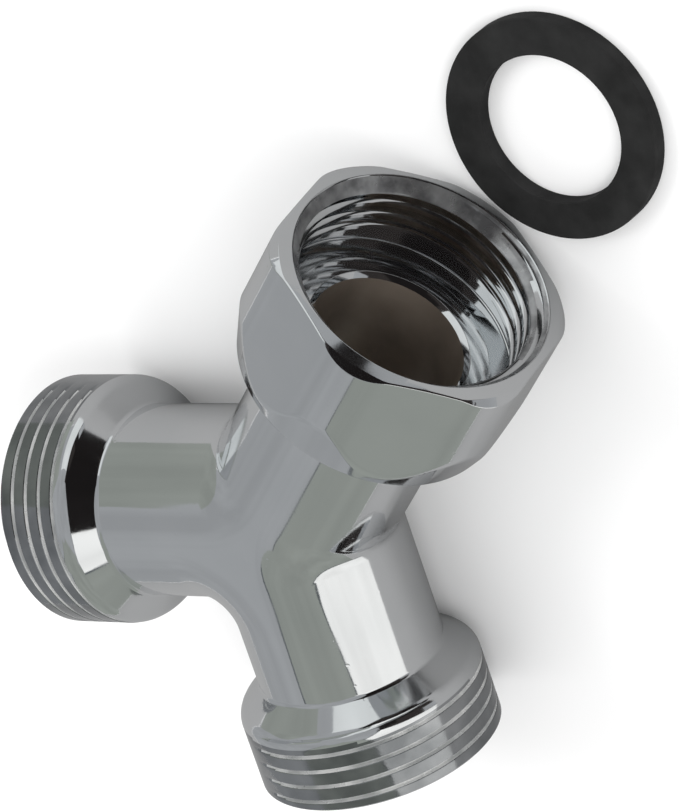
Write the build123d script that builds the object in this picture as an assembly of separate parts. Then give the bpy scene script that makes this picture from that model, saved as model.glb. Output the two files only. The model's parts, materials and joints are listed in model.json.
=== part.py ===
from build123d import *
from math import cos, radians, sin, tan
import os

# Tubing Y connector, millimetres. A cast, turned and plated fitting with a hexagonal
# threaded socket and two threaded outlets, and the flat rubber washer that seals the socket.
# It lies at rest on a flat surface, with the washer taken out and lying in front of the mouth.
# While the fitting is built, the junction of its three waterways is at the origin, the inlet
# runs along -Y, the outlets spread to -X and +X behind it, and +Z is up.

# Layout of the three arms
outlet_angle = 45.0              # each outlet from the inlet's line
inlet_length = 36.3              # junction to the mouth's face
outlet_length = 29.6             # junction to an outlet's end face

# Trunk, three rounded pipes that run into each other
pipe_radius = 10.15
pipe_bore_radius = 8.2
crown_width = 0.1                # flat that the rounding leaves along a pipe's top and bottom
outlet_crotch_radius = 1.2       # seen from above, between the two outlets
inlet_crotch_radius = 1.8        # seen from above, between the inlet and each outlet
foot_fillet_radius = 1.2         # where the inlet's pipe meets the head
foot_cover = 0.1                 # depth under the skin at which that fillet starts and ends

# Hexagonal head with rounded corners and turned ends
hex_across_flats = 28.9
hex_corner_radius = 6.7
hex_turn = 6.5                   # top corner from straight up, towards -X
head_length = 15.4
face_slope = 15.0                # the face falls outwards from the mouth's edge
face_circle_radius = 14.9        # where the face meets the front chamfer
face_chamfer_angle = 45.0        # from a plane across the inlet
back_circle_radius = 14.0        # where the rear taper meets the back
back_taper_angle = 73.7          # from the back

# Socket for a three-quarter inch parallel pipe thread, 14 threads to the inch
socket_minor_radius = 12.06
socket_mouth_radius = 13.6       # wide end of the entry chamfer, at the face
socket_thread_end = 7.2          # depth below the face where the relief starts
socket_depth = 9.3               # face to seat
relief_radius = 13.35
seat_outer_radius = 10.8
seat_rise = 0.4                  # seat above the floor of the relief
bore_edge_chamfer = 0.5

# Threaded outlets, plain at the thread's full diameter
collar_radius = 13.2
collar_length = 8.4
collar_end_chamfer = 0.2
shoulder_length = 2.5            # slope from the pipe up to the collar
shoulder_top_radius = 2.0

# Washer
washer_outer_radius = 12.0
washer_hole_radius = 8.0
washer_thickness = 1.8
washer_gap = 0.6                 # to the foremost point of the fitting
washer_aside = -0.3              # towards +X

# Where the socket's floor, the trunk's ends and the shoulders' feet come out
neck_length = inlet_length - socket_depth / 2
collar_start = outlet_length - collar_length
shoulder_foot = collar_start - shoulder_length


def inlet_plane(distance):
    """Plane across the inlet at a distance from the junction, facing out of the mouth."""
    return Plane(origin=(0, -distance, 0), x_dir=(1, 0, 0), z_dir=(0, -1, 0))


def outlet_direction(side):
    """Direction of an outlet, where side is -1 on the left and 1 on the right."""
    return Vector(side * sin(radians(outlet_angle)), cos(radians(outlet_angle)), 0)


def outlet_plane(side):
    """Plane through the junction across an outlet, whose x axis is on the inlet's side."""
    direction = outlet_direction(side)
    return Plane(origin=(0, 0, 0), x_dir=direction.cross(Vector(0, 0, side)), z_dir=direction)


def profile(*corners):
    """Face to be turned, from corners given as radius and height."""
    return Plane.XZ * make_face(Polyline(*corners, close=True))


def turned(face, plane):
    """Solid of revolution about a plane's normal."""
    return plane.location * revolve(face, Axis.Z)


def strip(direction, length):
    """Flat strip as wide as a pipe, from the junction along a direction."""
    along = Plane(origin=(0, 0, 0), x_dir=direction, z_dir=(0, 0, 1))
    return along * Pos(length / 2, 0) * Rectangle(length, 2 * pipe_radius)


def trunk_plan():
    """Outline of the three pipes seen from above, with rounded crotches."""
    plan = strip((0, -1, 0), neck_length)
    plan += [strip(outlet_direction(side), collar_start) for side in (-1, 1)]
    behind = plan.vertices().filter_by(lambda v: v.Y > 0 and abs(v.X) < crown_width)
    plan = fillet(behind, outlet_crotch_radius)
    beside = plan.vertices().filter_by(lambda v: abs(v.X) > crown_width and -pipe_radius < v.Y < 0)
    return fillet(beside, inlet_crotch_radius)


def trunk():
    """The pipes as one slab whose rims are rounded until its arms are tubes."""
    slab = extrude(trunk_plan(), pipe_radius, both=True)
    ends = [Vector(0, -neck_length, 0)]
    ends += [outlet_direction(side) * collar_start for side in (-1, 1)]
    level = slab.edges().filter_by(lambda e: abs(e.tangent_at(0.5).Z) < 0.5)
    rims = level.filter_by(lambda e: min((e.center() - end).length for end in ends) > 1.01 * pipe_radius)
    return fillet(rims, pipe_radius - crown_width / 2)


def head():
    """Hexagonal head, its corners turned off at both ends, with its foot on the pipe."""
    blank_radius = hex_across_flats / 2 / cos(radians(30))
    face_fall = (face_circle_radius - socket_mouth_radius) * tan(radians(face_slope))
    front_drop = face_fall + (blank_radius - face_circle_radius) * tan(radians(face_chamfer_angle))
    back_drop = (blank_radius - back_circle_radius) * tan(radians(back_taper_angle))
    plane = inlet_plane(inlet_length - head_length)
    hexagon = RegularPolygon(blank_radius, 6)
    prism = Rot(Z=90 + hex_turn) * fillet(hexagon.vertices(), hex_corner_radius)
    blank = profile((0, 0), (back_circle_radius, 0), (blank_radius, back_drop),
                    (blank_radius, head_length - front_drop),
                    (face_circle_radius, head_length - face_fall),
                    (socket_mouth_radius, head_length), (0, head_length))
    inner = pipe_radius - foot_cover
    reach = 2 * foot_fillet_radius
    foot = profile((0, -reach), (inner, -reach), (inner, foot_cover), (inner + reach, foot_cover),
                   (inner + reach, reach), (0, reach))
    hollow_corner = foot.vertices().sort_by_distance((inner, 0, foot_cover))[0]
    block = plane.location * extrude(prism, head_length) & turned(blank, plane)
    return block + turned(fillet(hollow_corner, foot_fillet_radius), plane)


def collar(side):
    """Collar for an outlet's thread, with its shoulder."""
    core_radius = pipe_radius - shoulder_top_radius / 2
    core_drop = shoulder_length * (pipe_radius - core_radius) / (collar_radius - pipe_radius)
    blank = profile((0, shoulder_foot - core_drop), (core_radius, shoulder_foot - core_drop),
                    (collar_radius, collar_start), (collar_radius, outlet_length - collar_end_chamfer),
                    (collar_radius - collar_end_chamfer, outlet_length), (0, outlet_length))
    shoulder_top = blank.vertices().sort_by(Axis.X)[-2:].sort_by(Axis.Z)[0]
    return turned(fillet(shoulder_top, shoulder_top_radius), outlet_plane(side))


def outside():
    """The fitting before it is bored."""
    return trunk() + [head(), collar(-1), collar(1)]


def socket():
    """Space of the threaded socket, with its relief and its raised seat."""
    entry = socket_mouth_radius - socket_minor_radius
    floor = socket_depth + seat_rise
    throat = socket_depth + bore_edge_chamfer
    space = profile((0, entry), (socket_mouth_radius + entry, entry), (socket_minor_radius, -entry),
                    (socket_minor_radius, -socket_thread_end), (relief_radius, -socket_thread_end),
                    (relief_radius, -floor), (seat_outer_radius, -floor),
                    (seat_outer_radius, -socket_depth),
                    (pipe_bore_radius + bore_edge_chamfer, -socket_depth),
                    (pipe_bore_radius, -throat), (0, -throat))
    return turned(space, inlet_plane(inlet_length))


def waterways():
    """The three bores that meet at the junction, with the outlets' chamfered ends."""
    past_end = outlet_length + bore_edge_chamfer
    bore = profile((0, 0), (pipe_bore_radius, 0), (pipe_bore_radius, outlet_length - bore_edge_chamfer),
                   (pipe_bore_radius + 2 * bore_edge_chamfer, past_end), (0, past_end))
    inlet_bore = profile((0, 0), (pipe_bore_radius, 0), (pipe_bore_radius, neck_length), (0, neck_length))
    return turned(inlet_bore, inlet_plane(0)) + [turned(bore, outlet_plane(side)) for side in (-1, 1)]


def fitting():
    """The finished Y connector, one solid."""
    return outside() - socket() - waterways()


def rest_turn():
    """Turn that lets the head and both collars touch the floor together."""
    collars = collar(-1) + collar(1)
    block = head()
    low, high = -30.0, 30.0
    while high - low > 0.001:
        turn = Rot(X=-(low + high) / 2)
        if (turn * block).bounding_box().min.Z < (turn * collars).bounding_box().min.Z:
            low = (low + high) / 2
        else:
            high = (low + high) / 2
    return Rot(X=-(low + high) / 2)


def washer():
    """Flat rubber washer, lying on the floor."""
    return extrude(Circle(washer_outer_radius) - Circle(washer_hole_radius), washer_thickness)


def main():
    """Lay the two pieces on the floor, centre them on the origin and write them."""
    body = rest_turn() * fitting()
    body = Pos(0, 0, -body.bounding_box().min.Z) * body
    ahead = washer_outer_radius + washer_gap - body.bounding_box().min.Y
    seal = Pos(washer_aside, -ahead, 0) * washer()
    middle = Compound([*body.solids(), *seal.solids()]).bounding_box().center()
    centred = Pos(-middle.X, -middle.Y, 0)
    os.makedirs("parts", exist_ok=True)
    export_step(centred * body, "parts/fitting_body.step")
    export_step(centred * seal, "parts/sealing_washer.step")


main()
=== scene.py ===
"""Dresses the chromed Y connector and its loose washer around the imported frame."""

import json
import logging
import math
from dataclasses import dataclass
from enum import Enum
from typing import Callable, Sequence

import bmesh
import bpy
from mathutils import Matrix, Vector


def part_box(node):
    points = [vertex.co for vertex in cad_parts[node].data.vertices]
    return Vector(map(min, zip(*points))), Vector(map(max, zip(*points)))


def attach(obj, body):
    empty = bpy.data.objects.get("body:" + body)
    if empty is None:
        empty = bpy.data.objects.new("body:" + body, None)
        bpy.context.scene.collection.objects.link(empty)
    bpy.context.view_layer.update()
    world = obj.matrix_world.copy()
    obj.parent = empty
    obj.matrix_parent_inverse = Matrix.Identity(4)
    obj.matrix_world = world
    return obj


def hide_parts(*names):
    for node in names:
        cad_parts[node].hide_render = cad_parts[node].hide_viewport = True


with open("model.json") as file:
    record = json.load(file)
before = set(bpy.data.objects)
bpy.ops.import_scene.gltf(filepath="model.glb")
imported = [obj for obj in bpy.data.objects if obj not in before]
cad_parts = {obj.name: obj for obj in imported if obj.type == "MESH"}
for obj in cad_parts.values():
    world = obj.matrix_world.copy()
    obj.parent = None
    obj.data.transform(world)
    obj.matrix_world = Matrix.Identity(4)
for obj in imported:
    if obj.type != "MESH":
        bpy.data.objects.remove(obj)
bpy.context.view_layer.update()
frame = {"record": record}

LOG = logging.getLogger("y_connector")
MM = 0.001                       # the pieces are measured in millimetres
CUBIC_CM = 0.001                 # a cubic millimetre, in cubic centimetres
COLUMNS = 144                    # columns round every turned surface
SIDE_COLUMNS = COLUMNS // 6      # of them, on one side of the hexagon
SIDE_ANGLE = math.pi / 3         # that a side of the hexagon takes
COLUMN_STEP = 2 * math.pi / COLUMNS
WELD = 0.002                     # vertices nearer than this are one
FINE_WELD = WELD / 4             # the same, within one skin
SHARP = math.radians(40.0)       # edges that turn more stay crisp
NORMAL_WEIGHT = 60               # how far large faces lead in the shading
FILLET_LIMIT = 0.45              # most that a fillet takes of a side next to it
GRID_HALF = 0.5                  # half of the side of a grid before it is bent
TONE_FULL = 255                  # level at which a tone is white
UP = Vector((0.0, 0.0, 1.0))

Point = tuple[float, float]              # radius and height
Corner = tuple[float, float, float]      # radius, height and fillet radius
Colour = tuple[float, float, float]      # red, green and blue
Shape = bmesh.types.BMesh


class Arm(Enum):
    """The three arms, by their direction seen from above, in degrees from +X."""

    INLET = -90.0
    RIGHT = 45.0
    LEFT = 135.0

    def along(self) -> Vector:
        """Direction from the junction out of the arm's mouth."""
        return heading(self.value)

    def matrix(self) -> Matrix:
        """Places a shape whose z axis runs out of the arm and whose y axis is up."""
        return Matrix((UP.cross(self.along()), UP, self.along())).transposed().to_4x4()


class Surface(Enum):
    """The fitting's finishes, by the number of their material."""

    PLATED = 0
    BORE = 1
    CREST = 2
    # Thread grooves, made lighter as a painted highlight of their bottoms catching light
    CUT = 3
    MOUTH = 4


def heading(degrees: float) -> Vector:
    """Level direction at an angle from +X."""
    return Vector((math.cos(math.radians(degrees)), math.sin(math.radians(degrees)), 0.0))


def polar(radius: float, turn: float, height: float) -> Vector:
    """Point round the z axis."""
    return Vector((radius * math.cos(turn), radius * math.sin(turn), height))


def rounded(corners: Sequence[Corner], steps: int = 3) -> list[Point]:
    """Rounds the corners of an open outline.

    Args:
        corners: Radius, height and fillet radius of each corner, from end to end. A fillet
            takes at most FILLET_LIMIT of the shorter side next to it.
        steps: Straight pieces in each fillet.

    Returns:
        The outline's points as radius and height.
    """
    points: list[Point] = []
    for index, (radius, height, fillet) in enumerate(corners):
        if fillet == 0.0:
            points.append((radius, height))
            continue
        here = Vector((radius, height))
        back = Vector(corners[index - 1][:2]) - here
        ahead = Vector(corners[index + 1][:2]) - here
        half = back.angle(ahead) / 2
        cut = min(fillet / math.tan(half), FILLET_LIMIT * back.length, FILLET_LIMIT * ahead.length)
        start = here + back.normalized() * cut
        end = here + ahead.normalized() * cut
        for step in range(steps + 1):
            share = step / steps
            pull = 2 * share * (1 - share) * math.sin(half)
            sides = (1 - share) ** 2, share ** 2
            blend = (start * sides[0] + here * pull + end * sides[1]) / (sum(sides) + pull)
            points.append((blend.x, blend.y))
    return points


def wrapped(column_at: Callable[[int], Sequence[Vector]]) -> Shape:
    """Closes a skin round the z axis from its columns.

    Args:
        column_at: Gives the points of a column, from 0 to COLUMNS. The last column lies on
            the first.

    Returns:
        The skin.
    """
    columns = [column_at(index) for index in range(COLUMNS + 1)]
    rows = len(columns[0]) - 1
    shape = bmesh.new()
    bmesh.ops.create_grid(shape, x_segments=COLUMNS, y_segments=rows, size=GRID_HALF)
    for vertex in shape.verts:
        column = round((vertex.co.x + GRID_HALF) * COLUMNS)
        vertex.co = columns[column][round((vertex.co.y + GRID_HALF) * rows)]
    bmesh.ops.remove_doubles(shape, verts=shape.verts, dist=FINE_WELD)
    return shape


def upright(outline: Sequence[Point], turn: float) -> list[Vector]:
    """Stands an outline beside the z axis, at an angle round it."""
    return [polar(radius, turn, height) for radius, height in outline]


def turned(outline: Sequence[Point]) -> Shape:
    """Turns an open outline about the z axis."""
    return wrapped(lambda column: upright(outline, column * COLUMN_STEP))


def absorb(whole: Shape, part: Shape) -> None:
    """Adds a part to a larger mesh.

    Args:
        whole: The larger mesh.
        part: The part. It is freed.
    """
    carrier = bpy.data.meshes.new("carrier")
    part.to_mesh(carrier)
    part.free()
    whole.from_mesh(carrier)
    bpy.data.meshes.remove(carrier)


@dataclass(frozen=True)
class Crotch:
    """Rounded corner between two arms, seen from above.

    Attributes:
        first: The arm that it starts from.
        second: The next arm, counterclockwise.
        radius: Radius of the corner.
    """

    first: Arm
    second: Arm
    radius: float

    def half_gap(self) -> float:
        """Half of the angle between the two arms, in degrees."""
        return (self.second.value - self.first.value) % 360.0 / 2

    def reach(self, pipe_radius: float) -> float:
        """How far along either arm the corner ends."""
        return (pipe_radius + self.radius) / math.tan(math.radians(self.half_gap()))

    def centre(self, pipe_radius: float) -> Vector:
        """Middle of the corner's arc."""
        away = (pipe_radius + self.radius) / math.sin(math.radians(self.half_gap()))
        return heading(self.first.value + self.half_gap()) * away


@dataclass(frozen=True)
class Trunk:
    """Outside of three pipes that run into each other with rounded corners.

    Attributes:
        radius: Radius of the pipes.
        crotches: The three corners.
        ends: Distance at which each arm's pipe ends.
        steps: Rows round a corner.
    """

    radius: float
    crotches: Sequence[Crotch]
    ends: dict[Arm, float]
    steps: int = 20

    def stations(self, arm: Arm, crotch: Crotch) -> list[float]:
        """Finds the rows along one side of an arm.

        Args:
            arm: The arm.
            crotch: The corner on that side.

        Returns:
            Their distances, from the corner outwards.
        """
        marks = {other.reach(self.radius) for other in self.crotches if arm in (other.first, other.second)}
        marks.add(self.ends[arm])
        return sorted(mark for mark in marks if mark >= crotch.reach(self.radius))

    def places(self, crotch: Crotch) -> list[Matrix]:
        """Finds where the half ring stands, in along one arm and out along the next.

        Args:
            crotch: The corner between them.

        Returns:
            Its places in turn.
        """
        first, second = crotch.first, crotch.second
        forward = Matrix.Rotation(math.radians(first.value), 4, "Z")
        inward = [Matrix.Translation(first.along() * mark) @ forward
                  for mark in reversed(self.stations(first, crotch))]
        centre = Matrix.Translation(crotch.centre(self.radius))
        sweep = math.pi - 2 * math.radians(crotch.half_gap())
        bend = [centre @ Matrix.Rotation(-sweep * step / self.steps, 4, "Z") @ centre.inverted() @ inward[-1]
                for step in range(1, self.steps + 1)]
        facing = Matrix.Rotation(math.radians(second.value + 180.0), 4, "Z")
        outward = [Matrix.Translation(second.along() * mark) @ facing
                   for mark in self.stations(second, crotch)[1:]]
        return inward + bend + outward

    def side(self, crotch: Crotch) -> Shape:
        """Sweeps the skin of half of two arms, from crown to crown.

        Args:
            crotch: The corner between them.

        Returns:
            The skin.
        """
        shape = bmesh.new()
        quarter = COLUMNS // 4
        places = self.places(crotch)
        turns = [step * COLUMN_STEP for step in range(-quarter, quarter + 1)]
        ring = [Vector((0.0, self.radius * math.cos(turn), self.radius * math.sin(turn))) for turn in turns]
        row = [shape.verts.new(places[0] @ point) for point in ring]
        edges = [shape.edges.new(pair) for pair in zip(row, row[1:])]
        for before, after in zip(places, places[1:]):
            grown = bmesh.ops.extrude_edge_only(shape, edges=edges)["geom"]
            row = [item for item in grown if isinstance(item, bmesh.types.BMVert)]
            edges = [item for item in grown if isinstance(item, bmesh.types.BMEdge)]
            bmesh.ops.transform(shape, matrix=after @ before.inverted(), verts=row)
        return shape

    def build(self) -> Shape:
        """Joins the three sides and closes the crowns.

        Returns:
            The skin, open at the three ends.
        """
        skin = bmesh.new()
        for crotch in self.crotches:
            absorb(skin, self.side(crotch))
        bmesh.ops.remove_doubles(skin, verts=skin.verts, dist=WELD)
        for level in (self.radius, -self.radius):
            rim = [edge for edge in skin.edges if edge.is_boundary
                   and all(abs(vertex.co.z - level) < WELD for vertex in edge.verts)]
            bmesh.ops.edgeloop_fill(skin, edges=rim)
        return skin


@dataclass(frozen=True)
class Waterways:
    """Three bores that cross at the junction.

    Attributes:
        radius: Radius of the bores.
        crotches: The three corners.
        ends: Distance at which each arm's bore ends.
    """

    radius: float
    crotches: Sequence[Crotch]
    ends: dict[Arm, float]

    def bore(self, arm: Arm) -> Shape:
        """Makes one bore.

        Args:
            arm: Its arm.

        Returns:
            The bore, from the seams with its neighbours out to its end.
        """
        after = next(crotch.half_gap() for crotch in self.crotches if crotch.first is arm)
        before = next(crotch.half_gap() for crotch in self.crotches if crotch.second is arm)

        def column_at(column: int) -> list[Vector]:
            """Finds one line along the bore.

            Args:
                column: Its number.

            Returns:
                Its two ends.
            """
            turn = column * COLUMN_STEP
            side = math.cos(turn) * self.radius
            seam = abs(side) / math.tan(math.radians(before if side < 0 else after))
            return [polar(self.radius, turn, seam), polar(self.radius, turn, self.ends[arm])]

        shape = wrapped(column_at)
        shape.transform(arm.matrix())
        return shape

    def build(self) -> Shape:
        """Makes the three bores.

        Returns:
            Their walls, marked with their own surface.
        """
        shape = bmesh.new()
        for arm in Arm:
            absorb(shape, self.bore(arm))
        for face in shape.faces:
            face.material_index = Surface.BORE.value
        return shape


@dataclass(frozen=True)
class Thread:
    """Right-handed thread with rounded grooves, between two heights of a turned surface.

    Attributes:
        crest_radius: Radius of the metal between the grooves.
        root_radius: Radius at the bottom of the grooves.
        low: Height at which the thread starts.
        high: Height at which it ends.
        pitch: Rise of one turn.
        crest_share: Share of the pitch that a crest takes.
        root_share: Share of the pitch that a groove's bottom takes.
        start_turn: Angle of the middle of a groove at the low end, in degrees.
        faded_turn: Angle round which the grooves are worn away, in degrees.
        faded_width: Half of that stretch, in degrees. The grooves are full at twice this angle.
        steps: Rows on a flank, and on a crest.
    """

    crest_radius: float
    root_radius: float
    low: float
    high: float
    pitch: float = 1.814
    crest_share: float = 0.7
    root_share: float = 0.06
    start_turn: float = 0.0
    faded_turn: float = 0.0
    faded_width: float = 0.0
    steps: int = 4

    def flank_share(self) -> float:
        """Share of the pitch that one flank takes."""
        return 0.5 - (self.crest_share + self.root_share) / 2

    def radius_at(self, height: float, turn: float) -> float:
        """Radius of the threaded surface.

        Args:
            height: Height on the axis.
            turn: Angle about the axis.

        Returns:
            The radius there.
        """
        climb = (turn - math.radians(self.start_turn)) / (2 * math.pi)
        share = abs(((height - self.low) / self.pitch - climb + 0.5) % 1.0 - 0.5)
        rise = min(1.0, max(0.0, (share - self.root_share / 2) / self.flank_share()))
        depth = 1.0 - rise ** 2 * (3 - 2 * rise)
        if self.faded_width:
            away = abs((math.degrees(turn) - self.faded_turn + 180.0) % 360.0 - 180.0)
            depth *= min(1.0, max(0.0, away / self.faded_width - 1.0))
        return self.crest_radius + (self.root_radius - self.crest_radius) * depth

    def heights(self, turn: float) -> list[float]:
        """Finds the rows at an angle.

        Args:
            turn: Angle about the axis.

        Returns:
            Their heights, kept between the thread's ends.
        """
        flank = [self.root_share / 2 + self.flank_share() * step / self.steps
                 for step in range(self.steps + 1)]
        crest = [flank[-1] + self.crest_share * step / self.steps for step in range(1, self.steps)]
        shares = [0.0] + flank + crest + [1.0 - share for share in reversed(flank)]
        # Enough to reach from the low end or below it to past the high end, at every angle
        turns = math.ceil((self.high - self.low) / self.pitch) + 3
        first = turn / (2 * math.pi) - self.start_turn / 360.0 % 1.0 - 1.0
        rows = [self.low + self.pitch * (first + index + share)
                for index in range(turns) for share in shares]
        return [min(self.high, max(self.low, height)) for height in rows]

    def build(self, fitted: Callable[[float, float], float]) -> Shape:
        """Makes the threaded surface.

        Args:
            fitted: Gives the radius that is left at a height, from the thread's own radius.

        Returns:
            The surface.
        """
        def column_at(column: int) -> list[Vector]:
            """The profile at one angle."""
            turn = column * COLUMN_STEP
            return [polar(fitted(height, self.radius_at(height, turn)), turn, height)
                    for height in self.heights(turn)]

        return wrapped(column_at)


@dataclass(frozen=True)
class Collar:
    """Threaded end of an outlet, from the pipe over its shoulder to the edge of its bore.

    Attributes:
        arm: The outlet.
        start_turn: Angle of the middle of a groove at the shoulder, in degrees.
        faded_turn: Angle round which the grooves are worn away, in degrees.
        faded_width: Half of that stretch, in degrees.
        pipe_radius: Radius of the pipe that it stands on.
        bore_radius: Radius of its bore.
        pipe_end: Distance at which the plain pipe ends.
        foot: Distance at which the shoulder leaves the pipe.
        start: Distance at which the shoulder would reach the full radius with no rounding.
        end: Distance of the end face.
        radius: Radius over the thread's crests.
        groove_depth: Depth of the grooves.
        worn_share: Share of that depth that has the crests' finish. Deeper faces get the painted groove
            highlight.
        foot_fillet: Hollow radius at the shoulder's foot.
        top_fillet: Radius at the shoulder's top.
        end_chamfer: Chamfer round the end face.
        bore_chamfer: Chamfer at the bore's edge.
        edge: Radius of the worn edges.
    """

    arm: Arm
    start_turn: float
    faded_turn: float
    faded_width: float = 16.0
    pipe_radius: float = 10.15
    bore_radius: float = 8.2
    pipe_end: float = 17.2
    foot: float = 18.7
    start: float = 21.2
    end: float = 29.6
    radius: float = 13.2
    groove_depth: float = 0.42
    worn_share: float = 0.25
    foot_fillet: float = 0.7
    top_fillet: float = 2.0
    end_chamfer: float = 0.2
    bore_chamfer: float = 0.5
    edge: float = 0.08

    def slope(self) -> float:
        """Angle of the shoulder from the axis."""
        return math.atan2(self.radius - self.pipe_radius, self.start - self.foot)

    def rounding(self) -> float:
        """Distance from the shoulder's top to either end of its rounding."""
        return self.top_fillet * math.tan(self.slope() / 2)

    def fitted(self, height: float, radius: float) -> float:
        """Fits the thread to the rounding of the shoulder's top.

        Args:
            height: Height on the axis.
            radius: The thread's own radius there.

        Returns:
            The radius that is left.
        """
        short = max(0.0, self.start + self.rounding() - height)
        drop = self.top_fillet - math.sqrt(self.top_fillet ** 2 - short ** 2)
        return min(radius, self.radius - drop)

    def thread(self) -> Thread:
        """The grooves, from the rounding of the shoulder's top to the end's chamfer."""
        return Thread(crest_radius=self.radius, root_radius=self.radius - self.groove_depth,
                      low=self.start - self.rounding() * math.cos(self.slope()),
                      high=self.end - self.end_chamfer, start_turn=self.start_turn,
                      faded_turn=self.faded_turn, faded_width=self.faded_width)

    def shoulder(self, thread: Thread) -> Shape:
        """The slope from the pipe up to the start of the thread."""
        return turned(rounded([
            (self.pipe_radius, self.pipe_end, 0.0),
            (self.pipe_radius, self.foot, self.foot_fillet),
            (self.fitted(thread.low, self.radius), thread.low, 0.0)], steps=6))

    def end_face(self, thread: Thread) -> Shape:
        """Closes the collar's end.

        Args:
            thread: The collar's thread.

        Returns:
            The end, from the last groove to the edge of the bore.
        """
        def column_at(column: int) -> list[Vector]:
            """Finds the profile at one angle.

            Args:
                column: Number of the column.

            Returns:
                Its points.
            """
            turn = column * COLUMN_STEP
            rim = thread.radius_at(thread.high, turn)
            return upright(rounded([
                (rim, thread.high, 0.0),
                (min(rim, self.radius - self.end_chamfer), self.end, self.edge),
                (self.bore_radius + self.bore_chamfer, self.end, self.edge),
                (self.bore_radius, self.end - self.bore_chamfer, 0.0)]), turn)

        return wrapped(column_at)

    def surface_at(self, middle: Vector) -> Surface:
        """Chooses the finish of a face of the thread: plating, worn crest, or groove with a painted
        highlight.

        Args:
            middle: The face's middle.

        Returns:
            The finish.
        """
        if middle.z < self.start + self.rounding():
            return Surface.PLATED
        # Faces deep in a groove get the lighter finish that paints the highlight of the groove bottoms
        sunk = self.radius - middle.xy.length > self.groove_depth * self.worn_share
        return Surface.CUT if sunk else Surface.CREST

    def build(self) -> Shape:
        """Makes the collar and marks its worn crests, and its grooves, which carry a painted highlight.

        Returns:
            The whole collar, in place on its arm.
        """
        thread = self.thread()
        grooves = thread.build(self.fitted)
        for face in grooves.faces:
            face.material_index = self.surface_at(face.calc_center_median()).value
        shape = self.shoulder(thread)
        absorb(shape, grooves)
        absorb(shape, self.end_face(thread))
        shape.transform(self.arm.matrix())
        return shape


@dataclass(frozen=True)
class Hexagon:
    """Section of the head, a hexagon with rounded corners.

    Attributes:
        across_flats: Width across the flats.
        corner_radius: Radius of the corners.
        turn: Angle of the middle of the first flat, in degrees.
        arc_columns: Columns round one corner.
    """

    across_flats: float = 28.9
    corner_radius: float = 6.7
    turn: float = 6.5
    arc_columns: int = 10

    def spot(self, column: int) -> tuple[float, float]:
        """Finds where a column meets the outline.

        Args:
            column: Number of the column.

        Returns:
            The radius and the angle.
        """
        edge_column = (SIDE_COLUMNS - self.arc_columns) // 2
        from_first = column - round(math.radians(self.turn) / COLUMN_STEP)
        offset = (from_first + edge_column) % SIDE_COLUMNS - edge_column
        half_flat = (self.across_flats / 2 - self.corner_radius) * math.tan(SIDE_ANGLE / 2)
        sweep = SIDE_ANGLE * max(0, offset - edge_column) / self.arc_columns
        out = self.across_flats / 2 - self.corner_radius * (1 - math.cos(sweep))
        along = half_flat * min(offset, edge_column) / edge_column + self.corner_radius * math.sin(sweep)
        middle = math.radians(self.turn) + (from_first - offset) * COLUMN_STEP
        return math.hypot(out, along), middle + math.atan2(along, out)


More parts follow.
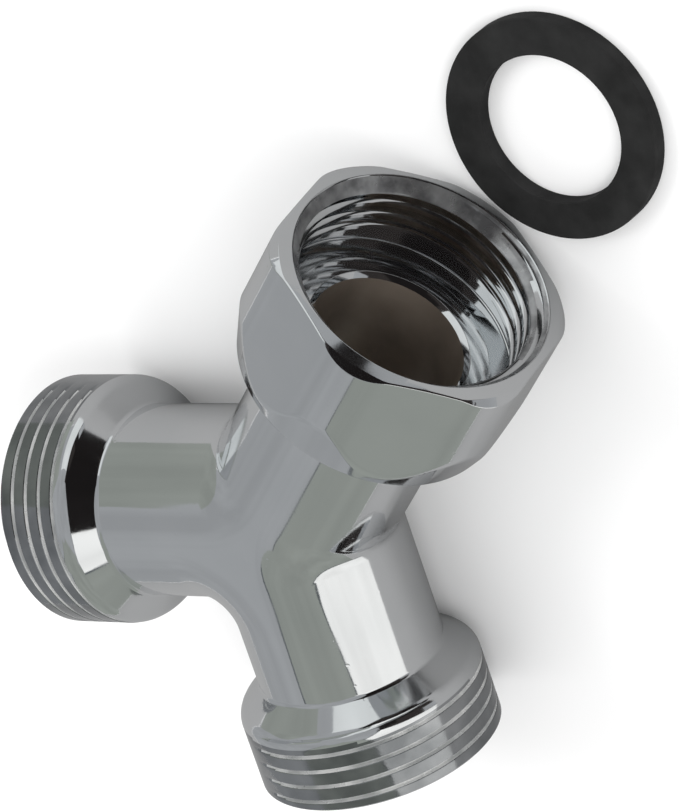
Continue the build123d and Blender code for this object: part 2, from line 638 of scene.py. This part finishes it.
@dataclass(frozen=True)
class Head:
    """Hexagonal head with its turned ends, and the threaded socket in it.

    Attributes:
        hexagon: Its section.
        pipe_radius: Radius of the pipe behind it.
        pipe_end: Distance at which the plain pipe ends.
        back: Distance of its back.
        face: Distance of the socket's mouth.
        foot_fillet: Hollow radius where the pipe meets the back.
        back_circle: Radius at which the rear taper meets the back.
        back_taper: Angle of the rear taper, from the back, in degrees.
        back_edge: Radius between the back and the rear taper.
        taper_rounding: Radius between the rear taper and the sides.
        face_circle: Radius at which the face meets the front chamfer.
        face_slope: Fall of the face, outwards, in degrees.
        edge: Width of the worn edges.
        mouth_radius: Wide end of the entry chamfer.
        minor_radius: Radius over the socket's crests.
        major_radius: Radius at the bottom of its grooves.
        crest_share: Share of the pitch that a crest of the thread takes.
        root_share: Share of the pitch that a groove's bottom takes.
        relief_radius: Radius of the relief behind the thread.
        relief_fillet: Hollow radius in the corner of the relief.
        bore_radius: Radius of the bore.
        seat_radius: Outer radius of the raised seat.
        thread_end: Depth below the mouth at which the thread ends.
        seat_depth: Depth of the seat.
        seat_rise: Height of the seat over the relief's floor.
        bore_chamfer: Chamfer at the bore's edge.
    """

    hexagon: Hexagon = Hexagon()
    pipe_radius: float = 10.15
    pipe_end: float = 18.2
    back: float = 20.9
    face: float = 36.3
    foot_fillet: float = 1.2
    back_circle: float = 14.0
    back_taper: float = 73.7
    back_edge: float = 0.45
    taper_rounding: float = 4.0
    face_circle: float = 14.9
    face_slope: float = 15.0
    edge: float = 0.12
    mouth_radius: float = 13.6
    minor_radius: float = 12.06
    major_radius: float = 13.22
    crest_share: float = 0.26
    root_share: float = 0.1
    relief_radius: float = 13.35
    relief_fillet: float = 0.3
    bore_radius: float = 8.2
    seat_radius: float = 10.8
    thread_end: float = 7.2
    seat_depth: float = 9.3
    seat_rise: float = 0.4
    bore_chamfer: float = 0.5

    def outside_at(self, column: int) -> list[Vector]:
        """Finds the profile of the outside.

        Args:
            column: Number of the column.

        Returns:
            Its points, from the pipe over the back, side and face into the mouth.
        """
        reach, corner_turn = self.hexagon.spot(column)
        rim = min(self.face_circle, reach - self.edge)
        shoulder = self.face - (rim - self.mouth_radius) * math.tan(math.radians(self.face_slope))
        taper = (reach - self.back_circle) * math.tan(math.radians(self.back_taper))
        outline = rounded([
            (self.pipe_radius, self.pipe_end, 0.0),
            (self.pipe_radius, self.back, self.foot_fillet),
            (self.back_circle, self.back, self.back_edge),
            (reach, self.back + taper, self.taper_rounding),
            (reach, shoulder - reach + rim, self.edge),
            (rim, shoulder, self.edge),
            (self.mouth_radius, self.face, self.edge),
            (self.mouth_radius - self.edge, self.face - self.edge, 0.0)], steps=5)
        parting = (self.back_circle + self.mouth_radius) / 2
        return [polar(radius, corner_turn if radius > parting else column * COLUMN_STEP, height)
                for radius, height in outline]

    def entered(self, height: float, radius: float) -> float:
        """Radius that the entry chamfer leaves of the thread's own radius."""
        return max(radius, self.mouth_radius - (self.face - height))

    def socket(self) -> Shape:
        """Makes the inside of the head.

        Returns:
            The thread, its entry chamfer, the relief and the seat.
        """
        thread = Thread(crest_radius=self.minor_radius, root_radius=self.major_radius,
                        low=self.face - self.thread_end, high=self.face - self.edge,
                        crest_share=self.crest_share, root_share=self.root_share)
        seat = self.face - self.seat_depth
        floor = seat - self.seat_rise

        def floor_at(column: int) -> list[Vector]:
            """Finds the profile from the thread's end to the bore.

            Args:
                column: Number of the column.

            Returns:
                Its points.
            """
            turn = column * COLUMN_STEP
            return upright(rounded([
                (thread.radius_at(thread.low, turn), thread.low, 0.0),
                (self.relief_radius, thread.low, 0.0),
                (self.relief_radius, floor, self.relief_fillet),
                (self.seat_radius, floor, self.edge),
                (self.seat_radius, seat, self.edge),
                (self.bore_radius + self.bore_chamfer, seat, self.edge),
                (self.bore_radius, seat - self.bore_chamfer, 0.0)]), turn)

        shape = thread.build(self.entered)
        for face in shape.faces:
            middle = face.calc_center_median()
            if abs(middle.xy.length - self.entered(middle.z, 0.0)) < self.edge:
                face.material_index = Surface.MOUTH.value
        absorb(shape, wrapped(floor_at))
        return shape

    def build(self) -> Shape:
        """Makes the outside and the socket.

        Returns:
            The whole head, in place on the inlet.
        """
        shape = wrapped(self.outside_at)
        absorb(shape, self.socket())
        shape.transform(Arm.INLET.matrix())
        return shape


@dataclass(frozen=True)
class Setting:
    """How the fitting lies in the frame.

    Attributes:
        matrix: Takes the fitting's own millimetres to the frame's metres.
    """

    matrix: Matrix

    @classmethod
    def from_record(cls, record: dict) -> "Setting":
        """Finds the junction where the two outlets' axes meet.

        Args:
            record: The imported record.

        Returns:
            The setting.
        """
        mounts = {mount["name"]: mount for mount in record["mounts"]}
        right, left = mounts["right_outlet_bore"], mounts["left_outlet_bore"]
        spread = Vector(right["axis"]) - Vector(left["axis"])
        apart = Vector(right["pos_m"]) - Vector(left["pos_m"])
        junction = Vector(right["pos_m"]) - Vector(right["axis"]) * (apart.length / spread.length)
        across = spread.normalized()
        behind = -Vector(mounts["inlet_bore"]["axis"]).normalized()
        axes = Matrix((across, behind, across.cross(behind))).transposed().to_4x4()
        return cls(Matrix.Translation(junction) @ axes @ Matrix.Scale(MM, 4))


@dataclass(frozen=True)
class Fitting:
    """The cast, turned and plated body of the Y connector.

    Attributes:
        head: Its hexagonal head.
        right: Its right outlet's collar.
        left: Its left outlet's collar.
        outlet_crotch: Radius between the outlets, seen from above.
        inlet_crotch: Radius between the inlet and an outlet.
    """

    head: Head = Head()
    right: Collar = Collar(Arm.RIGHT, start_turn=126.0, faded_turn=201.0)
    left: Collar = Collar(Arm.LEFT, start_turn=321.0, faded_turn=136.0)
    outlet_crotch: float = 1.2
    inlet_crotch: float = 1.8

    def crotches(self) -> list[Crotch]:
        """The corners between the arms."""
        return [Crotch(Arm.INLET, Arm.RIGHT, self.inlet_crotch),
                Crotch(Arm.RIGHT, Arm.LEFT, self.outlet_crotch),
                Crotch(Arm.LEFT, Arm.INLET, self.inlet_crotch)]

    def trunk(self) -> Trunk:
        """Outside of the three pipes."""
        ends = {Arm.INLET: self.head.pipe_end, Arm.RIGHT: self.right.pipe_end, Arm.LEFT: self.left.pipe_end}
        return Trunk(self.head.pipe_radius, self.crotches(), ends)

    def waterways(self) -> Waterways:
        """Inside of the three pipes."""
        return Waterways(self.head.bore_radius, self.crotches(),
                         {Arm.INLET: self.head.face - self.head.seat_depth - self.head.bore_chamfer,
                          Arm.RIGHT: self.right.end - self.right.bore_chamfer,
                          Arm.LEFT: self.left.end - self.left.bore_chamfer})

    def build(self, setting: Setting) -> bpy.types.Object:
        """Joins the parts to one closed piece.

        Args:
            setting: How it lies in the frame.

        Returns:
            The piece.
        """
        whole = bmesh.new()
        for part in (self.trunk(), self.waterways(), self.head, self.right, self.left):
            absorb(whole, part.build())
        bmesh.ops.remove_doubles(whole, verts=whole.verts, dist=WELD)
        return finished(whole, "fitting_casting", setting.matrix)


@dataclass(frozen=True)
class Washer:
    """The flat rubber washer.

    Attributes:
        outer_radius: Radius of its rim.
        hole_radius: Radius of its hole.
        thickness: Thickness.
        edge: Radius of its moulded edges.
    """

    outer_radius: float = 12.0
    hole_radius: float = 8.0
    thickness: float = 1.8
    edge: float = 0.16

    def build(self) -> bpy.types.Object:
        """Turns the washer.

        Returns:
            The piece, lying where the frame has it.
        """
        middle = (self.outer_radius + self.hole_radius) / 2
        shape = turned(rounded([
            (middle, 0.0, 0.0), (self.outer_radius, 0.0, self.edge),
            (self.outer_radius, self.thickness, self.edge), (self.hole_radius, self.thickness, self.edge),
            (self.hole_radius, 0.0, self.edge), (middle, 0.0, 0.0)]))
        low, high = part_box("sealing_washer")
        place = Matrix.Translation(((low.x + high.x) / 2, (low.y + high.y) / 2, low.z))
        return finished(shape, "rubber_washer", place @ Matrix.Scale(MM, 4))


def placed(shape: Shape, name: str) -> bpy.types.Object:
    """Links a mesh to the scene.

    Args:
        shape: The mesh. It is freed.
        name: Name of the object.

    Returns:
        The object.
    """
    mesh = bpy.data.meshes.new(name)
    shape.to_mesh(mesh)
    shape.free()
    linked = bpy.data.objects.new(name, mesh)
    bpy.context.scene.collection.objects.link(linked)
    return linked


def finished(shape: Shape, name: str, place: Matrix) -> bpy.types.Object:
    """Turns a mesh into a smooth-shaded piece in its place.

    Args:
        shape: The mesh, in millimetres. It is freed.
        name: Name of the piece.
        place: Takes the mesh to the frame.

    Returns:
        The piece.
    """
    bmesh.ops.recalc_face_normals(shape, faces=shape.faces)
    for face in shape.faces:
        face.smooth = True
    for edge in shape.edges:
        edge.smooth = edge.calc_face_angle(0.0) < SHARP
    open_edges = sum(1 for edge in shape.edges if not edge.is_manifold)
    LOG.info("%s: %d faces, %d open edges, %.3f cubic centimetres", name, len(shape.faces), open_edges,
             shape.calc_volume() * CUBIC_CM)
    shape.transform(place)
    piece = placed(shape, name)
    weighted = piece.modifiers.new("even normals", "WEIGHTED_NORMAL")
    weighted.weight = NORMAL_WEIGHT
    weighted.keep_sharp = True
    return piece


class Net:
    """A node tree under construction."""

    def __init__(self, tree: bpy.types.NodeTree) -> None:
        """Keeps the tree."""
        self.tree = tree

    def add(self, kind: str, inputs: dict[str | int, object], **settings: object) -> bpy.types.Node:
        """Adds a node.

        Args:
            kind: Type of the node.
            inputs: What each input is filled with.
            settings: The node's own settings.

        Returns:
            The node.
        """
        node = self.tree.nodes.new(kind)
        for name, value in settings.items():
            setattr(node, name, value)
        self.fill(node, inputs)
        return node

    def fill(self, node: bpy.types.Node, inputs: dict[str | int, object]) -> None:
        """Fills the inputs of a node.

        Args:
            node: The node.
            inputs: A value, or a socket to link, for each input by its name or number.
        """
        for key, value in inputs.items():
            if isinstance(value, bpy.types.NodeSocket):
                self.tree.links.new(value, node.inputs[key])
            else:
                node.inputs[key].default_value = value

    def math(self, operation: str, first: object, second: object) -> bpy.types.NodeSocket:
        """Adds a Math node and gives its result."""
        return self.add("ShaderNodeMath", {0: first, 1: second}, operation=operation).outputs[0]


class Effects:
    """Surface effects that the finishes share, each built once as a node group."""

    def __init__(self) -> None:
        """Builds the groups."""
        self.patches = self.build_patches()
        self.relief = self.build_relief()

    @staticmethod
    def group(name: str, inputs: Sequence[str], output: str) -> tuple[Net, bpy.types.Node, bpy.types.Node]:
        """Starts a group that works on a vector.

        Args:
            name: Name of the group.
            inputs: Names of its numbers.
            output: Name of the value that it puts out.

        Returns:
            The group's net, its input node and its output node.
        """
        tree = bpy.data.node_groups.new(name, "ShaderNodeTree")
        tree.interface.new_socket("Vector", in_out="INPUT", socket_type="NodeSocketVector")
        for number in inputs:
            tree.interface.new_socket(number, in_out="INPUT", socket_type="NodeSocketFloat")
        tree.interface.new_socket(output, in_out="OUTPUT", socket_type="NodeSocketFloat")
        net = Net(tree)
        return net, net.add("NodeGroupInput", {}), net.add("NodeGroupOutput", {})

    def build_patches(self) -> bpy.types.NodeTree:
        """Makes soft cloudy patches between a low and a high value.

        Returns:
            The group.
        """
        net, given, result = self.group("soft_patches", ("Scale", "Low", "High"), "Value")
        noise = net.add("ShaderNodeTexNoise", {
            "Vector": given.outputs["Vector"], "Scale": given.outputs["Scale"], "Detail": 4.0})
        spread = net.add("ShaderNodeMapRange", {
            "Value": noise.outputs["Fac"], "From Min": 0.35, "From Max": 0.65,
            "To Min": given.outputs["Low"], "To Max": given.outputs["High"]})
        net.fill(result, {"Value": spread.outputs["Result"]})
        return net.tree

    def build_relief(self) -> bpy.types.NodeTree:
        """Makes the height of slow waves, fine grain and scattered pits, in metres.

        Returns:
            The group.
        """
        net, given, result = self.group("fine_relief", (
            "Wave Scale", "Wave Depth", "Grain Scale", "Grain Depth", "Pit Scale", "Pit Depth"), "Height")
        vector = given.outputs["Vector"]
        wave = net.add("ShaderNodeTexNoise", {
            "Vector": vector, "Scale": given.outputs["Wave Scale"], "Detail": 1.0})
        grain = net.add("ShaderNodeTexNoise", {
            "Vector": vector, "Scale": given.outputs["Grain Scale"], "Detail": 3.0})
        cells = net.add("ShaderNodeTexVoronoi", {"Vector": vector, "Scale": given.outputs["Pit Scale"]})
        pit = net.add("ShaderNodeMapRange", {
            "Value": cells.outputs["Distance"], "From Min": 0.08, "From Max": 0.2,
            "To Min": 1.0, "To Max": 0.0}, interpolation_type="SMOOTHSTEP")
        rare = net.add("ShaderNodeMapRange", {
            "Value": wave.outputs["Fac"], "From Min": 0.52, "From Max": 0.62})
        sunk = net.math("MULTIPLY", net.math("MULTIPLY", pit.outputs["Result"], rare.outputs["Result"]),
                        given.outputs["Pit Depth"])
        height = net.math("ADD", net.math("MULTIPLY", wave.outputs["Fac"], given.outputs["Wave Depth"]),
                          net.math("MULTIPLY", grain.outputs["Fac"], given.outputs["Grain Depth"]))
        net.fill(result, {"Height": net.math("SUBTRACT", height, sunk)})
        return net.tree


@dataclass(frozen=True)
class Finish:
    """A surface with patches of colour and gloss, and a fine relief.

    Attributes:
        name: Name of the material.
        light: Colour of its lighter patches.
        dark: Colour of its darker patches.
        metallic: How far it is bare metal, from 0 to 1.
        patch_scale: Patches of colour in a metre.
        gloss_scale: Patches of gloss in a metre.
        smooth: Roughness of its glossiest patches.
        rough: Roughness of its dullest patches.
        waves: Slow waves in a metre, and their depth in millimetres.
        grain: Grains in a metre, and their depth in millimetres.
        pits: Cells in a metre that may hold a pit, and its depth in millimetres.
        specular: Strength of a plain surface's gloss.
    """

    name: str
    light: Colour
    dark: Colour
    metallic: float
    patch_scale: float
    gloss_scale: float
    smooth: float
    rough: float
    waves: tuple[float, float]
    grain: tuple[float, float]
    pits: tuple[float, float]
    specular: float = 0.5

    def material(self, effects: Effects) -> bpy.types.Material:
        """Builds the material.

        Args:
            effects: The shared node groups.

        Returns:
            The material.
        """
        material = bpy.data.materials.new(self.name)
        material.use_nodes = True
        shader = material.node_tree.nodes["Principled BSDF"]
        net = Net(material.node_tree)
        place = net.add("ShaderNodeTexCoord", {}).outputs["Object"]
        patch = net.add("ShaderNodeGroup", {
            "Vector": place, "Scale": self.patch_scale, "Low": 0.0, "High": 1.0}, node_tree=effects.patches)
        gloss = net.add("ShaderNodeGroup", {
            "Vector": place, "Scale": self.gloss_scale, "Low": self.smooth, "High": self.rough},
            node_tree=effects.patches)
        relief = net.add("ShaderNodeGroup", {"Vector": place}, node_tree=effects.relief)
        for form, (scale, depth) in {"Wave": self.waves, "Grain": self.grain, "Pit": self.pits}.items():
            net.fill(relief, {form + " Scale": scale, form + " Depth": depth * MM})
        tint = net.add("ShaderNodeMix", {
            "Factor": patch.outputs["Value"], "A": (*self.dark, 1.0), "B": (*self.light, 1.0)},
            data_type="RGBA")
        bump = net.add("ShaderNodeBump", {
            "Height": relief.outputs["Height"], "Strength": 1.0, "Distance": 1.0})
        net.fill(shader, {
            "Base Color": tint.outputs["Result"], "Roughness": gloss.outputs["Value"],
            "Normal": bump.outputs["Normal"], "Metallic": self.metallic,
            "Specular IOR Level": self.specular})
        return material


PLATING = Finish(
    name="bright_plating", light=(0.80, 0.81, 0.82), dark=(0.76, 0.775, 0.785), metallic=1.0,
    patch_scale=90.0, gloss_scale=140.0, smooth=0.04, rough=0.1,
    waves=(110.0, 0.05), grain=(1600.0, 0.0012), pits=(900.0, 0.004))
BORE_WALL = Finish(
    name="dull_bore_wall", light=(0.30, 0.25, 0.205), dark=(0.20, 0.165, 0.135), metallic=0.35,
    patch_scale=120.0, gloss_scale=200.0, smooth=0.35, rough=0.5,
    waves=(150.0, 0.03), grain=(1400.0, 0.004), pits=(700.0, 0.02), specular=0.4)
WORN_CREST = Finish(
    name="worn_crest", light=(0.42, 0.43, 0.44), dark=(0.24, 0.25, 0.26), metallic=1.0,
    patch_scale=160.0, gloss_scale=180.0, smooth=0.07, rough=0.14,
    waves=(220.0, 0.03), grain=(2400.0, 0.004), pits=(900.0, 0.006))
# Lighter, duller metal for the thread's grooves: a painted highlight, standing in for the light that the
# groove bottoms catch
PAINTED_GROOVE_HIGHLIGHT = Finish(
    name="painted_groove_highlight", light=(0.82, 0.82, 0.815), dark=(0.5, 0.51, 0.51), metallic=0.55,
    patch_scale=240.0, gloss_scale=260.0, smooth=0.2, rough=0.38,
    waves=(260.0, 0.02), grain=(2600.0, 0.006), pits=(900.0, 0.02))
TURNED_MOUTH = Finish(
    name="turned_mouth", light=(0.5, 0.505, 0.51), dark=(0.2, 0.2, 0.205), metallic=0.8,
    patch_scale=420.0, gloss_scale=300.0, smooth=0.2, rough=0.42,
    waves=(300.0, 0.03), grain=(2400.0, 0.012), pits=(900.0, 0.03))
RUBBER = Finish(
    name="black_rubber", light=(0.022, 0.022, 0.022), dark=(0.013, 0.013, 0.013), metallic=0.0,
    patch_scale=260.0, gloss_scale=320.0, smooth=0.6, rough=0.8,
    waves=(180.0, 0.02), grain=(2600.0, 0.012), pits=(800.0, 0.02), specular=0.35)
# In the order of the surfaces
FITTING_FINISHES = (PLATING, BORE_WALL, WORN_CREST, PAINTED_GROOVE_HIGHLIGHT, TURNED_MOUTH)


@dataclass(frozen=True)
class Viewpoint:
    """The camera, at the photograph's angle.

    Attributes:
        azimuth: Turn of the camera about the object, in degrees from straight ahead of the mouth.
        elevation: Height angle, in degrees.
        roll: Turn about the line of sight, in degrees.
        distance: Distance from the target, in millimetres.
        target: Point that it looks at, in millimetres.
        lens: Focal length, in millimetres.
        sensor: Size of the sensor, in millimetres.
    """

    azimuth: float = -13.935
    elevation: float = 46.103
    roll: float = -130.917
    distance: float = 528.78
    target: tuple[float, float, float] = (0.964, 0.397, 15.295)
    lens: float = 231.403
    sensor: float = 36.0

    def build(self) -> None:
        """Adds the camera and makes it the scene's."""
        across, height = math.radians(self.azimuth), math.radians(self.elevation)
        back = Vector((math.sin(across) * math.cos(height), -math.cos(across) * math.cos(height),
                       math.sin(height)))
        data = bpy.data.cameras.new("camera")
        data.lens = self.lens
        data.sensor_fit = "AUTO"
        data.sensor_width = self.sensor
        camera = bpy.data.objects.new("camera", data)
        place = (Vector(self.target) + back * self.distance) * MM
        turn = back.to_track_quat("Z", "Y").to_matrix().to_4x4()
        roll = Matrix.Rotation(math.radians(self.roll), 4, "Z")
        camera.matrix_world = Matrix.Translation(place) @ turn @ roll
        bpy.context.scene.collection.objects.link(camera)
        bpy.context.scene.camera = camera


def linear(level: float) -> float:
    """The light of a display level from 0 to 1, by the usual curve of a display."""
    return ((level + 0.055) / 1.055) ** 2.4


class Tone(Enum):
    """Colours of the surroundings, as the plating shows them, from 0 to TONE_FULL."""

    BLUE_GREY = (150, 152, 154)
    GREEN_GREY = (138, 142, 137)
    WHITE = (235, 235, 233)
    PALE = (205, 208, 208)
    DARK = (88, 92, 94)
    SHADE = (46, 43, 42)
    BLACK = (26, 24, 24)

    def light(self) -> Colour:
        """The light that a card of this tone sends out, so that the plating shows the tone."""
        mirror = sum(PLATING.light) / len(PLATING.light)
        return tuple(linear(value / TONE_FULL) / mirror for value in self.value)


@dataclass(frozen=True)
class Card:
    """A curved card round the object, seen only by the glossy metal.

    Attributes:
        name: Its name.
        tone: Its colour.
        turns: Where it starts and ends round the object, in degrees from +X.
        heights: Angles of its lower and upper edge over the floor, in degrees.
        distance: Distance from the object, in metres.
        columns: Faces along it.
        rows: Faces up it.
        patches: Patches of light in a stretch as long as the distance.
        dim: Strength of its darker patches.
        bright: Strength of its brighter patches.
    """

    name: str
    tone: Tone
    turns: tuple[float, float]
    heights: tuple[float, float]
    distance: float
    columns: int = 24
    rows: int = 12
    patches: float = 3.0
    dim: float = 0.9
    bright: float = 1.06

    def build(self, effects: Effects) -> None:
        """Adds the card to the stage.

        Args:
            effects: The shared node groups.
        """
        shape = bmesh.new()
        bmesh.ops.create_grid(shape, x_segments=self.columns, y_segments=self.rows, size=GRID_HALF)
        (first, last), (low, high) = self.turns, self.heights
        for vertex in shape.verts:
            turn = math.radians(first + (last - first) * (vertex.co.x + GRID_HALF))
            height = math.radians(low + (high - low) * (vertex.co.y + GRID_HALF))
            vertex.co = polar(math.cos(height), turn, math.sin(height)) * self.distance
        staged(shape, self.name, self.material(effects))

    def material(self, effects: Effects) -> bpy.types.Material:
        """Makes a light that varies a little over the card.

        Args:
            effects: The shared node groups.

        Returns:
            The material.
        """
        material = bpy.data.materials.new(self.name)
        material.use_nodes = True
        net = Net(material.node_tree)
        place = net.add("ShaderNodeTexCoord", {}).outputs["Object"]
        level = net.add("ShaderNodeGroup", {
            "Vector": place, "Scale": self.patches / self.distance, "Low": self.dim, "High": self.bright},
            node_tree=effects.patches)
        glow = net.add("ShaderNodeEmission", {
            "Color": (*self.tone.light(), 1.0), "Strength": level.outputs["Value"]})
        net.fill(net.tree.nodes["Material Output"], {"Surface": glow.outputs[0]})
        return material


def staged(shape: Shape, name: str, material: bpy.types.Material) -> None:
    """Adds a card that only the glossy metal sees.

    Args:
        shape: Its mesh. It is freed.
        name: Its name.
        material: Its material.
    """
    card = placed(shape, name)
    card.data.materials.append(material)
    card.visible_camera = False
    card.visible_diffuse = False
    card.visible_shadow = False


@dataclass(frozen=True)
class Lamp:
    """A soft square lamp that faces the object and that the metal doesn't show.

    Attributes:
        name: Its name.
        place: Where it stands, in metres.
        power: Its power, in watts.
        size: Width of its square, in metres.
    """

    name: str
    place: tuple[float, float, float]
    power: float
    size: float = 0.5

    def build(self) -> None:
        """Adds the lamp."""
        data = bpy.data.lights.new(self.name, "AREA")
        data.size = self.size
        data.energy = self.power
        lamp = bpy.data.objects.new(self.name, data)
        lamp.location = self.place
        lamp.rotation_euler = Vector(self.place).to_track_quat("Z", "Y").to_euler()
        lamp.visible_glossy = False
        bpy.context.scene.collection.objects.link(lamp)


@dataclass(frozen=True)
class Studio:
    """Pale floor, room, lamps and the cards that the plating reflects.

    Attributes:
        floor_size: Half of the floor's width, in metres.
        floor_colour: Grey level of the floor.
        card_colour: Grey level of the card that hides the floor from the metal.
        card_radius: Radius of that card, in metres.
        card_lift: Height of that card over the floor, in millimetres.
        card_sides: Straight sides that make its rim.
        room: Light of the room away from the camera.
        cards: The cards that the plating reflects.
        lamps: The lamps.
    """

    floor_size: float = 3.0
    floor_colour: float = 0.92
    card_colour: float = 0.33
    card_radius: float = 0.8
    card_lift: float = 0.02
    card_sides: int = 64
    room: float = 1.0
    cards: tuple[Card, ...] = (
        Card("surround_card", Tone.BLUE_GREY, (-180.0, 180.0), (-3.0, 90.0), 1.0),
        Card("back_card", Tone.GREEN_GREY, (104.0, 181.0), (-3.0, 46.0), 0.9),
        Card("back_top_card", Tone.GREEN_GREY, (89.0, 190.0), (46.0, 80.0), 0.9),
        Card("back_seam", Tone.DARK, (102.8, 104.0), (-3.0, 46.0), 0.89),
        Card("back_top_seam", Tone.DARK, (87.5, 89.0), (46.0, 80.0), 0.89),
        Card("right_card", Tone.GREEN_GREY, (-10.0, 35.0), (-3.0, 46.0), 0.14),
        Card("left_window", Tone.WHITE, (164.5, 204.5), (-3.0, 54.0), 0.12),
        Card("left_seam", Tone.DARK, (163.2, 204.5), (-3.0, 55.5), 0.121),
        Card("right_window", Tone.PALE, (-62.0, -25.0), (-3.0, 46.0), 0.14),
        Card("shaded_front", Tone.SHADE, (-155.5, -62.0), (-3.0, 56.0), 0.125),
        Card("dark_front_low", Tone.BLACK, (-106.0, -62.0), (-3.0, 20.0), 0.12),
        Card("dark_front_middle", Tone.BLACK, (-124.0, -87.0), (20.0, 40.0), 0.12),
        Card("dark_front_high", Tone.BLACK, (-142.0, -70.0), (40.0, 56.0), 0.12),
        Card("dark_front_left", Tone.BLACK, (-155.5, -142.0), (47.0, 56.0), 0.12),
        Card("front_gap", Tone.BLUE_GREY, (-80.0, -62.0), (-3.0, 12.0), 0.11),
        Card("front_low", Tone.BLUE_GREY, (-100.0, -87.5), (-3.0, 6.0), 0.11),
        Card("left_low", Tone.BLUE_GREY, (-155.5, -135.0), (-3.0, 14.0), 0.11),
    )
    lamps: tuple[Lamp, ...] = (
        Lamp("key", (-0.5, -0.6, 0.9), power=4.0),
        Lamp("fill", (0.8, 0.2, 0.8), power=3.0),
    )

    def floor(self) -> None:
        """Adds the pale floor."""
        shape = bmesh.new()
        bmesh.ops.create_grid(shape, x_segments=1, y_segments=1, size=self.floor_size)
        floor = placed(shape, "floor")
        floor.data.materials.append(self.matte("pale_floor", self.floor_colour))

    def matte(self, name: str, level: float) -> bpy.types.Material:
        """Makes a plain matte grey material.

        Args:
            name: Its name.
            level: Its grey level.

        Returns:
            The material.
        """
        material = bpy.data.materials.new(name)
        material.use_nodes = True
        Net(material.node_tree).fill(material.node_tree.nodes["Principled BSDF"], {
            "Base Color": (level, level, level, 1.0), "Roughness": 1.0, "Specular IOR Level": 0.0})
        return material

    def table_card(self) -> None:
        """Adds the grey card that hides the floor from the metal."""
        shape = bmesh.new()
        bmesh.ops.create_circle(shape, cap_ends=True, segments=self.card_sides, radius=self.card_radius,
                                matrix=Matrix.Translation(UP * self.card_lift * MM))
        staged(shape, "table_card", self.matte("grey_card", self.card_colour))

    def backdrop(self) -> None:
        """White where the camera or the metal sees the room, and plain light elsewhere."""
        world = bpy.data.worlds.new("room")
        world.use_nodes = True
        net = Net(world.node_tree)
        path = net.add("ShaderNodeLightPath", {})
        seen = net.math("MAXIMUM", path.outputs["Is Camera Ray"], path.outputs["Is Glossy Ray"])
        seen = net.math("MAXIMUM", seen, path.outputs["Is Transmission Ray"])
        level = net.add("ShaderNodeMapRange", {"Value": seen, "To Min": self.room, "To Max": 1.0})
        net.fill(net.tree.nodes["Background"], {
            "Color": (1.0, 1.0, 1.0, 1.0), "Strength": level.outputs["Result"]})
        bpy.context.scene.world = world

    def build(self, effects: Effects) -> None:
        """Sets up the whole stage.

        Args:
            effects: The shared node groups.
        """
        self.floor()
        self.table_card()
        self.backdrop()
        for card in self.cards:
            card.build(effects)
        for lamp in self.lamps:
            lamp.build()


def main() -> None:
    """Builds the pieces in order, dresses them and reports each."""
    logging.basicConfig(level=logging.INFO)
    bpy.context.scene.view_settings.view_transform = "Standard"
    Viewpoint().build()
    effects = Effects()
    body = Fitting().build(Setting.from_record(frame["record"]))
    for finish in FITTING_FINISHES:
        body.data.materials.append(finish.material(effects))
    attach(body, "root")
    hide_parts("fitting_body")
    washer = Washer().build()
    washer.data.materials.append(RUBBER.material(effects))
    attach(washer, "root")
    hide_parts("sealing_washer")
    Studio().build(effects)


if __name__ == "__main__":
    main()
